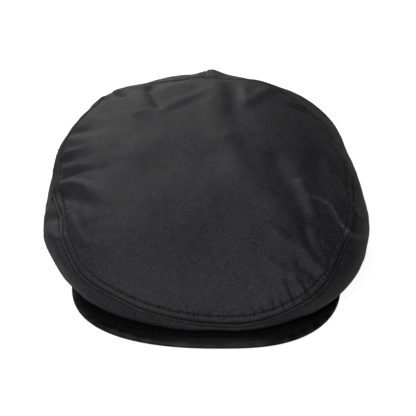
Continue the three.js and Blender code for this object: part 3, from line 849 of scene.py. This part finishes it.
def side_panel(material):
    grid, distance = resample(side_meridians(ANGLES), NEAR, SIDE_ROWS, HEM_BAND)
    normals = -grid_normals(grid)
    run, total = seam_length(grid[0])
    height, wax = folds(grid)
    from_hem = distance[-1][None] - distance
    height = (height + cloth_relief(grid)) * smooth(from_hem / HEM_CALM)
    over_peak = smooth((-normals[..., 2] - DOWN_FROM) / DOWN_SPAN) * (np.cos(ANGLES) > OVER_PEAK_END)[None]
    height -= np.maximum(height, 0) * over_peak
    relief = side_relief(distance, run[None], total, grid)
    behind = (np.cos(ANGLES) < 0)[None]
    back = behind * bump(grid[..., 0], BACK_SEAM_WIDTH)
    relief -= BACK_SEAM_DITCH * back
    beside = behind * bump(np.abs(grid[..., 0]) - BACK_ROW, ROW_DITCH_WIDTH)
    relief -= ROW_DITCH * beside
    relief -= ROW_DITCH * bump(from_hem - HEM_ROW, ROW_DITCH_WIDTH)
    relief *= smooth(from_hem / HEM_FLAT)
    outer = grid + normals * (height + relief)[..., None]
    inner = grid + normals * (height - CLOTH)[..., None]
    inward = unit(normals[-1] * np.array([-1.0, -1.0, 0.0]))
    rim = grid[-1] + inward * CLOTH
    inner[-1] = rim + np.array([0, 0, HEM_TURN])
    outer, inner = apart(outer), apart(inner)
    wear_and_painted_light = np.maximum(wax, seam_wear(distance, grid))
    wear_and_painted_light = np.maximum(wear_and_painted_light, HEM_RUB * bump(from_hem, HEM_RUB_WIDTH))
    # Painted shade in the seam ditch, the lower and hem rows of stitches, and darker still along the centre
    # back seam and its rows
    wear_and_painted_light = wear_and_painted_light + ditch_painted_shade(distance, distance - LOWER_ROW, from_hem - HEM_ROW) * (1 - wax)
    wear_and_painted_light = wear_and_painted_light - PAINTED_DITCH_SHADE * np.maximum(BACK_SEAM_PAINTED_SHADE * back, BACK_ROW_PAINTED_SHADE * beside)
    flat = np.stack([np.broadcast_to(run, distance.shape), distance], -1)
    levels = np.where(distance.mean(1) < FINE_BAND, 0, 1)
    solid = Solid()
    outside = add_surface(solid, outer, wear_and_painted_light, flat, levels)
    last = len(grid) - 1
    picks = LINING_START + list(range(LINING_FROM, last, LINING_EVERY)) + [last]
    levels = [0, 1] + [2] * (len(picks) - 2)
    lining = Solid(solid.count)
    inside = add_surface(lining, inner[picks], 0 * wear_and_painted_light[picks], flat[picks], levels)
    step = 2 ** levels[-1]
    rim_row = lining.row(rim[::step], wear_and_painted_light[-1][::step], flat[-1][::step])
    lining.strip(inside[-1], rim_row)
    lining.turn()
    solid.take(lining)
    solid.strip(inside[0], outside[0])
    solid.strip(outside[-1], rim_row)
    solid.turn()
    return solid.piece("side_panel_cloth", material), outer, normals, distance


# Peak

def peak_root(share):
    hem = hem_points(share * PEAK_ROOT_ANGLE)
    inward = np.stack([-hem[..., 0], HEM_MIDDLE - hem[..., 1], 0 * hem[..., 0]], -1)
    return hem + unit(inward) * CLOTH - np.array([0, 0, PEAK_GAP])


def peak_edge(share):
    angle = share * PEAK_EDGE_ANGLE
    inset = PEAK_THICKNESS / 2
    front = PEAK_TIP + inset
    widest = PEAK_TIP + PEAK_LENGTH
    square = (PEAK_SQUARENESS, PEAK_SQUARENESS)
    x, y = outline(angle, PEAK_WIDTH / 2 - inset, widest, front, 2 * widest - front, square)
    forward = np.maximum(np.cos(angle), 0)
    z = ROOT_TOP + PEAK_TIP_LIFT * forward ** 2
    return np.stack([x + PEAK_LEAN * PEAK_WIDTH * forward ** LEAN_POWER, y, z], -1)


def peak(material):
    share = np.linspace(-1, 1, PEAK_COLUMNS)
    root, edge = peak_root(share), peak_edge(share)
    width = np.linalg.norm(edge - root, axis=-1)
    inner_rows = np.linspace(1, PEAK_RIM_SHARE, PEAK_INNER_ROWS)
    rim_rows = np.linspace(PEAK_RIM_SHARE, 0, PEAK_RIM_ROWS)[1:]
    from_edge = np.concatenate([inner_rows, rim_rows])[:, None] * width
    depth = (1 - from_edge / width)[..., None]
    top = root * (1 - depth) + edge * depth
    top[..., 2] += PEAK_CAMBER * 4 * (depth * (1 - depth))[..., 0]
    outward = unit((edge - root) * np.array([1, 1, 0]))
    run = line_length(edge)
    ditch = row_ditch(from_edge - PEAK_ROW, stitch_wave(run, run[-1]))
    rim = smooth((PEAK_ROW - from_edge) / PEAK_RIM_SLOPE)
    uneven = Waves(SEED + 8, PEAK_PUCKER_SIZE)(top)
    under = top - np.array([0, 0, PEAK_THICKNESS])
    rim_rise = rim * (PEAK_RIM_RISE + PEAK_PUCKER_RISE * uneven)
    top[..., 2] += -ditch + rim_rise + PEAK_SOFT_RISE * SOFTNESS(top)
    under[..., 2] += ditch
    turns = np.linspace(0, np.pi, PEAK_NOSE_ROWS)[1:-1, None, None]
    middle = edge - np.array([0, 0, PEAK_THICKNESS / 2])
    nose = middle + outward * np.sin(turns) * PEAK_THICKNESS / 2
    nose[..., 2] += (np.cos(turns) * (PEAK_THICKNESS / 2))[..., 0]
    loop = np.concatenate([top, nose, under[::-1]])
    reach = np.concatenate([from_edge, 0 * nose[..., 0], from_edge[::-1]])
    # Rubbed wax on the rim and edge, lightened further as a painted highlight along the front edge
    wear_and_painted_light = PEAK_RUB_AND_HIGHLIGHT * smooth(1 - reach / PEAK_ROW) + PEAK_EDGE_RUB_AND_HIGHLIGHT * bump(reach, PEAK_EDGE_WIDTH)
    wear_and_painted_light = wear_and_painted_light * patches(SEED + 9, PEAK_RUB_AND_HIGHLIGHT_PATCH, PEAK_RUB_AND_HIGHLIGHT_CONTRAST, loop)
    flat = np.stack([np.broadcast_to(run, reach.shape), reach], -1)
    solid = Solid()
    rows = [solid.row(r, w, f) for r, w, f in zip(loop, wear_and_painted_light, flat)]
    for first, second in zip(rows, rows[1:] + rows[:1]):
        solid.strip(first, second, closed=False)
    for end in (0, -1):
        for i in range(len(rows) // 2 - 1):
            face = [rows[i][end], rows[i + 1][end], rows[-2 - i][end], rows[-1 - i][end]]
            solid.faces.append(face if end == 0 else face[::-1])
    solid.turn()
    return solid.piece("peak_cloth", material), top, from_edge


# Threads

def stitches(name, path, normals, run, material, closed=True):
    """A row of stitches laid on a path, each a small tube whose ends go into the cloth."""
    if closed:
        ends = np.linalg.norm(path[0] - path[-1])
        path = np.concatenate([path, path[:1]])
        normals = np.concatenate([normals, normals[:1]])
        run = np.append(run, run[-1] + ends)
    total = run[-1]
    count = round(total / STITCH_PITCH)
    rings, sides = len(THREAD_TAPER), THREAD_SIDES
    t = np.linspace(-1, 1, rings)
    centre = (np.arange(count)[:, None] + 0.5) * total / count
    place = centre + t * STITCH_LENGTH / 2
    line = np.stack([np.interp(place, run, path[:, k]) for k in range(3)], -1)
    up = unit(np.stack([np.interp(place, run, normals[:, k]) for k in range(3)], -1))
    ahead = unit(np.gradient(line, axis=1))
    aside = unit(np.cross(ahead, up))
    rng = np.random.default_rng(SEED + 20)
    lean = rng.normal(0, STITCH_LEAN, (count, 1, 1)) * t[None, :, None]
    line = line + aside * lean + up * (STITCH_LIFT - STITCH_DIVE * t ** 4)[None, :, None]
    taper = np.array(THREAD_TAPER)[None, :, None, None] * THREAD_RADIUS
    turn = np.linspace(0, 2 * np.pi, sides, endpoint=False)[None, None, :, None]
    ring = line[:, :, None] + taper * (np.cos(turn) * aside[:, :, None] + np.sin(turn) * up[:, :, None])
    points = ring.reshape(-1, 3)
    faces = []
    for s in range(count):
        base = s * rings * sides
        for start in range(base, base + (rings - 1) * sides, sides):
            for k in range(sides):
                a, b = start + k, start + (k + 1) % sides
                faces.append([a, b, b + sides, a + sides])
        faces.append([base + k for k in reversed(range(sides))])
        faces.append([base + (rings - 1) * sides + k for k in range(sides)])
    return mesh_piece(name, material, points, faces, np.zeros(len(points)), points[:, :2])


def row_at(outer, normals, distance, reach):
    """The line on a panel at one distance from its seam."""
    i = int(np.argmin(np.abs(distance.mean(1) - reach)))
    return outer[i], normals[i]


def back_line(outer, normals, side):
    """The line down the side panel at one distance from the centre back seam."""
    half = outer.shape[1] // 2
    near = slice(half - BACK_COLUMNS, half + BACK_COLUMNS + 1)
    order = slice(None, None, -1)
    path, up = [], []
    for row, normal in zip(outer[BACK_LINE_ROWS, near], normals[BACK_LINE_ROWS, near]):
        path.append([np.interp(side, row[order, 0], row[order, k]) for k in range(3)])
        up.append([np.interp(side, row[order, 0], normal[order, k]) for k in range(3)])
    return np.array(path), unit(np.array(up))


def peak_line(top, from_edge, reach):
    """The line on the peak's upper face at one distance from its edge."""
    line = []
    for j in range(PEAK_LINE_ENDS, top.shape[1] - PEAK_LINE_ENDS):
        line.append([np.interp(-reach, -from_edge[:, j], top[:, j, k]) for k in range(3)])
    return np.array(line)


# Finish of the cloth

def cloth_material(name, colour, worn_and_highlight_colour, roughness, specular, sheen):
    """Waxed woven cloth: plain weave, uneven wax, light specks, rubbed edges, painted shade in the ditches
    and a painted highlight on the peak's edge.
    """
    material = bpy.data.materials.new(name)
    material.use_nodes = True
    tree = material.node_tree
    shader = tree.nodes["Principled BSDF"]
    shader.inputs["Specular IOR Level"].default_value = specular
    shader.inputs["Sheen Weight"].default_value = sheen
    shader.inputs["Sheen Roughness"].default_value = SHEEN_ROUGHNESS

    def add(kind, **settings):
        made = tree.nodes.new(kind)
        for key, value in settings.items():
            setattr(made, key, value)
        return made

    def link(source, target):
        tree.links.new(source, target)

    def math_node(operation, *values, clamp=False):
        made = add("ShaderNodeMath", operation=operation, use_clamp=clamp)
        for socket, value in zip(made.inputs, values):
            if isinstance(value, (int, float)):
                socket.default_value = value
            else:
                link(value, socket)
        return made.outputs[0]

    def noise(vector, scale, detail, rough):
        made = add("ShaderNodeTexNoise")
        made.inputs["Scale"].default_value = scale
        made.inputs["Detail"].default_value = detail
        made.inputs["Roughness"].default_value = rough
        link(vector, made.inputs["Vector"])
        return made.outputs["Fac"]

    def stretch(value, low, high, to_low, to_high):
        made = add("ShaderNodeMapRange", interpolation_type="SMOOTHSTEP")
        link(value, made.inputs["Value"])
        for key, number in zip(("From Min", "From Max", "To Min", "To Max"), (low, high, to_low, to_high)):
            made.inputs[key].default_value = number
        return made.outputs["Result"]

    def relief_node(height, strength, distance):
        made = add("ShaderNodeBump")
        made.inputs["Strength"].default_value = strength
        made.inputs["Distance"].default_value = distance
        link(height, made.inputs["Height"])
        return made

    place = add("ShaderNodeTexCoord").outputs["Object"]
    flat = add("ShaderNodeUVMap", uv_map="cloth")
    axes = add("ShaderNodeSeparateXYZ")
    link(flat.outputs["UV"], axes.inputs["Vector"])
    wear_and_painted_light = add("ShaderNodeAttribute", attribute_name="wear_and_painted_light").outputs["Fac"]

    threads = 2 * math.pi / (WEAVE_PITCH * MILLIMETRE * 2)
    warp = math_node("SINE", math_node("MULTIPLY", axes.outputs["X"], threads))
    weft = math_node("SINE", math_node("MULTIPLY", axes.outputs["Y"], threads))
    weave = math_node("MULTIPLY_ADD", math_node("MULTIPLY", warp, weft), 0.5, 0.5)

    grain = noise(place, **GRAIN)
    mottle = noise(place, **MOTTLE)
    bloom = noise(place, **BLOOM)
    specks = stretch(noise(place, **SPECKS), *SPECK_RANGE, 0.0, 1.0)
    shade = stretch(grain, *NOISE_MIDDLE, *GRAIN_SHADE)
    shade = math_node("MULTIPLY", shade, stretch(mottle, *NOISE_MIDDLE, *MOTTLE_SHADE))
    shade = math_node("MULTIPLY", shade, stretch(bloom, *NOISE_MIDDLE, *BLOOM_SHADE))
    shade = math_node("MULTIPLY", shade, stretch(weave, 0.0, 1.0, *WEAVE_SHADE))
    # Painted shade: colour darkened where the wear values are below 0
    shade = math_node("MULTIPLY", shade, stretch(wear_and_painted_light, -PAINTED_DITCH_SHADE, 0.0, *PAINTED_SHADE_TONES))

    dyed = add("ShaderNodeMix", data_type="RGBA", blend_type="MULTIPLY")
    dyed.inputs["Factor"].default_value = 1.0
    dyed.inputs["A"].default_value = (*colour, 1)
    grey = add("ShaderNodeCombineColor")
    tinted = noise(place, **TINT)
    for channel, strength in TINTS:
        tint = stretch(tinted, *TINT_RANGE, 1 - strength, 1 + strength)
        link(math_node("MULTIPLY", shade, tint), grey.inputs[channel])
    link(grey.outputs["Color"], dyed.inputs["B"])
    # Rubbed wax and light specks mix in the worn colour; on the peak's edge part of it is a painted
    # highlight
    rubbed_and_highlight = math_node("MULTIPLY", wear_and_painted_light, stretch(mottle, *RUB_RANGE, *RUB_SHARE), clamp=True)
    rubbed_and_highlight = math_node("MAXIMUM", rubbed_and_highlight, math_node("MULTIPLY", specks, SPECK_STRENGTH))
    worn_and_painted = add("ShaderNodeMix", data_type="RGBA")
    link(rubbed_and_highlight, worn_and_painted.inputs["Factor"])
    link(dyed.outputs["Result"], worn_and_painted.inputs["A"])
    worn_and_painted.inputs["B"].default_value = (*worn_and_highlight_colour, 1)
    link(worn_and_painted.outputs["Result"], shader.inputs["Base Color"])

    gloss = stretch(bloom, *NOISE_MIDDLE, *(roughness + change for change in BLOOM_GLOSS))
    gloss = math_node("ADD", gloss, stretch(grain, *NOISE_MIDDLE, *GRAIN_GLOSS))
    gloss = math_node("SUBTRACT", gloss, math_node("MULTIPLY", rubbed_and_highlight, RUB_SMOOTHING))
    link(gloss, shader.inputs["Roughness"])

    depth = math_node("MULTIPLY", grain, GRAIN_DEPTH)
    depth = math_node("ADD", depth, math_node("MULTIPLY", weave, WEAVE_DEPTH))
    soft = relief_node(mottle, **MOTTLE_RELIEF)
    fine = relief_node(depth, **FINE_RELIEF)
    link(soft.outputs["Normal"], fine.inputs["Normal"])
    link(fine.outputs["Normal"], shader.inputs["Normal"])
    return material


def thread_material():
    """Black polished thread with a twist."""
    material = bpy.data.materials.new("thread")
    material.use_nodes = True
    tree = material.node_tree
    shader = tree.nodes["Principled BSDF"]
    shader.inputs["Specular IOR Level"].default_value = 0.3
    shader.inputs["Roughness"].default_value = 0.5
    place = tree.nodes.new("ShaderNodeTexCoord")
    twist = tree.nodes.new("ShaderNodeTexNoise")
    twist.inputs["Scale"].default_value = THREAD_TWIST
    ramp = tree.nodes.new("ShaderNodeValToRGB")
    for element, colour in zip(ramp.color_ramp.elements, THREAD_COLOURS):
        element.color = colour
    tree.links.new(place.outputs["Object"], twist.inputs["Vector"])
    tree.links.new(twist.outputs["Fac"], ramp.inputs["Fac"])
    tree.links.new(ramp.outputs["Color"], shader.inputs["Base Color"])
    return material


OILCLOTH = cloth_material("oilcloth", colour=(0.0232, 0.0224, 0.0262), worn_and_highlight_colour=(0.10, 0.10, 0.106),
                          roughness=0.53, specular=0.4, sheen=0.04)
# The peak's oilcloth is the crown's cloth with its colour and worn colour darkened as painted shade under
# the crown's overhang
PEAK_OILCLOTH_SHADED = cloth_material("peak_oilcloth", colour=(0.0065, 0.0064, 0.0069),
                               worn_and_highlight_colour=(0.05, 0.05, 0.053), roughness=0.5, specular=0.3, sheen=0.02)
THREAD = thread_material()


def place_piece(piece, node=None):
    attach(piece, "root")
    if node:
        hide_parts(node)


def add_row(name, path, up, run, closed=True):
    place_piece(stitches(name, path, up, run, THREAD, closed))


top_piece, top_outer, top_normals, top_distance = crown_top(OILCLOTH)
side_piece, side_outer, side_normals, side_distance = side_panel(OILCLOTH)
peak_piece, peak_top, peak_reach = peak(PEAK_OILCLOTH_SHADED)
place_piece(top_piece, "crown_top")
place_piece(side_piece, "side_panel")
place_piece(peak_piece, "peak")

SEAM_RUN = seam_length(section_points(SEAM, ANGLES))[0]
path, up = row_at(top_outer, top_normals, top_distance, UPPER_ROW)
add_row("stitches_top", path, up, SEAM_RUN)
path, up = row_at(side_outer, side_normals, side_distance, LOWER_ROW)
add_row("stitches_side", path, up, SEAM_RUN)
path, up = row_at(side_outer, side_normals, side_distance - side_distance[-1], -HEM_ROW)
add_row("stitches_hem", path, up, seam_length(path)[0])
for NAME, SIDE in (("stitches_back_left", BACK_ROW), ("stitches_back_right", -BACK_ROW)):
    path, up = back_line(side_outer, side_normals, SIDE)
    add_row(NAME, path, up, line_length(path), closed=False)
path = peak_line(peak_top, peak_reach, PEAK_ROW)
up = np.broadcast_to([0.0, 0.0, 1.0], path.shape)
add_row("stitches_peak", path, up, line_length(path), closed=False)
path = path - np.array([0, 0, PEAK_THICKNESS - ROW_DITCH])
add_row("stitches_peak_under", path, -up, line_length(path), closed=False)


# Stage, light and camera, in metres but for the lens and the sensor

CAMERA_PLACE = Vector((0.0, -0.9944, 0.610))
CAMERA_AIM = Vector((0.0013, 0.0015, 0.0280))
CAMERA_LENS = 143.46
SENSOR_WIDTH = 36.0
CAMERA_REACH = 20.0

# Soft lights round the cap: where each stands, its size and its power
LIGHTS = [
    dict(name="back_left_high", place=(-0.6, 0.6, 1.5), size=0.9, power=8.2),
    dict(name="back", place=(0.0, 1.3, 0.9), size=0.9, power=0.8),
    dict(name="back_low", place=(-0.5, 1.5, 0.6), size=0.9, power=3.8),
    dict(name="front_top", place=(0.1, -1.2, 1.1), size=0.9, power=3.6),
    dict(name="front_left", place=(-0.5, -1.2, 0.9), size=0.9, power=6.5),
    dict(name="left_low", place=(-1.5, 0.0, 0.12), size=0.9, power=0.5),
    dict(name="right_low", place=(1.5, 0.1, 0.12), size=0.9, power=0.3),
]
ROOM_LIGHT = 0.005
LIGHT_AIM = Vector((0, 0, 0.04))
FLOOR_SIZE = 4.0
FLOOR_TONE = 0.5
FLOOR_GLOW = 0.92
BOUNCE_GLOW = 0.26
BOUNCE_HEIGHT = -0.0005


def add_camera():
    data = bpy.data.cameras.new("camera")
    data.lens = CAMERA_LENS
    data.sensor_width = SENSOR_WIDTH
    data.clip_end = CAMERA_REACH
    camera = bpy.data.objects.new("camera", data)
    camera.location = CAMERA_PLACE
    camera.rotation_euler = (CAMERA_AIM - CAMERA_PLACE).to_track_quat("-Z", "Y").to_euler()
    bpy.context.scene.collection.objects.link(camera)
    bpy.context.scene.camera = camera


def add_floor(name, height, glow):
    """A plain white floor that gives off its own tone."""
    mesh = bpy.data.meshes.new(name)
    size = FLOOR_SIZE
    corners = [(-size, -size, height), (size, -size, height), (size, size, height), (-size, size, height)]
    mesh.from_pydata(corners, [], [(0, 1, 2, 3)])
    floor = bpy.data.objects.new(name, mesh)
    bpy.context.scene.collection.objects.link(floor)
    material = bpy.data.materials.new(name)
    material.use_nodes = True
    shader = material.node_tree.nodes["Principled BSDF"]
    shader.inputs["Base Color"].default_value = (FLOOR_TONE, FLOOR_TONE, FLOOR_TONE, 1)
    shader.inputs["Roughness"].default_value = 0.9
    shader.inputs["Specular IOR Level"].default_value = 0.0
    shader.inputs["Emission Color"].default_value = (1, 1, 1, 1)
    shader.inputs["Emission Strength"].default_value = glow
    mesh.materials.append(material)
    return floor


def add_floors():
    """One floor is seen, and one just below it throws soft light up at the cap."""
    seen = add_floor("floor", 0.0, FLOOR_GLOW)
    seen.visible_diffuse = False
    seen.visible_glossy = False
    bounce = add_floor("floor_bounce", BOUNCE_HEIGHT, BOUNCE_GLOW)
    bounce.visible_camera = False


def add_light(light):
    data = bpy.data.lights.new(light["name"], "AREA")
    data.shape = "DISK"
    data.size = light["size"]
    data.energy = light["power"]
    lamp = bpy.data.objects.new(light["name"], data)
    lamp.location = light["place"]
    lamp.rotation_euler = (LIGHT_AIM - lamp.location).to_track_quat("-Z", "Y").to_euler()
    bpy.context.scene.collection.objects.link(lamp)


def add_world():
    world = bpy.data.worlds.new("studio")
    world.use_nodes = True
    background = world.node_tree.nodes["Background"]
    background.inputs["Color"].default_value = (1, 1, 1, 1)
    background.inputs["Strength"].default_value = ROOM_LIGHT
    bpy.context.scene.world = world


add_camera()
add_floors()
for LIGHT in LIGHTS:
    add_light(LIGHT)
add_world()
bpy.context.scene.view_settings.view_transform = "Standard"
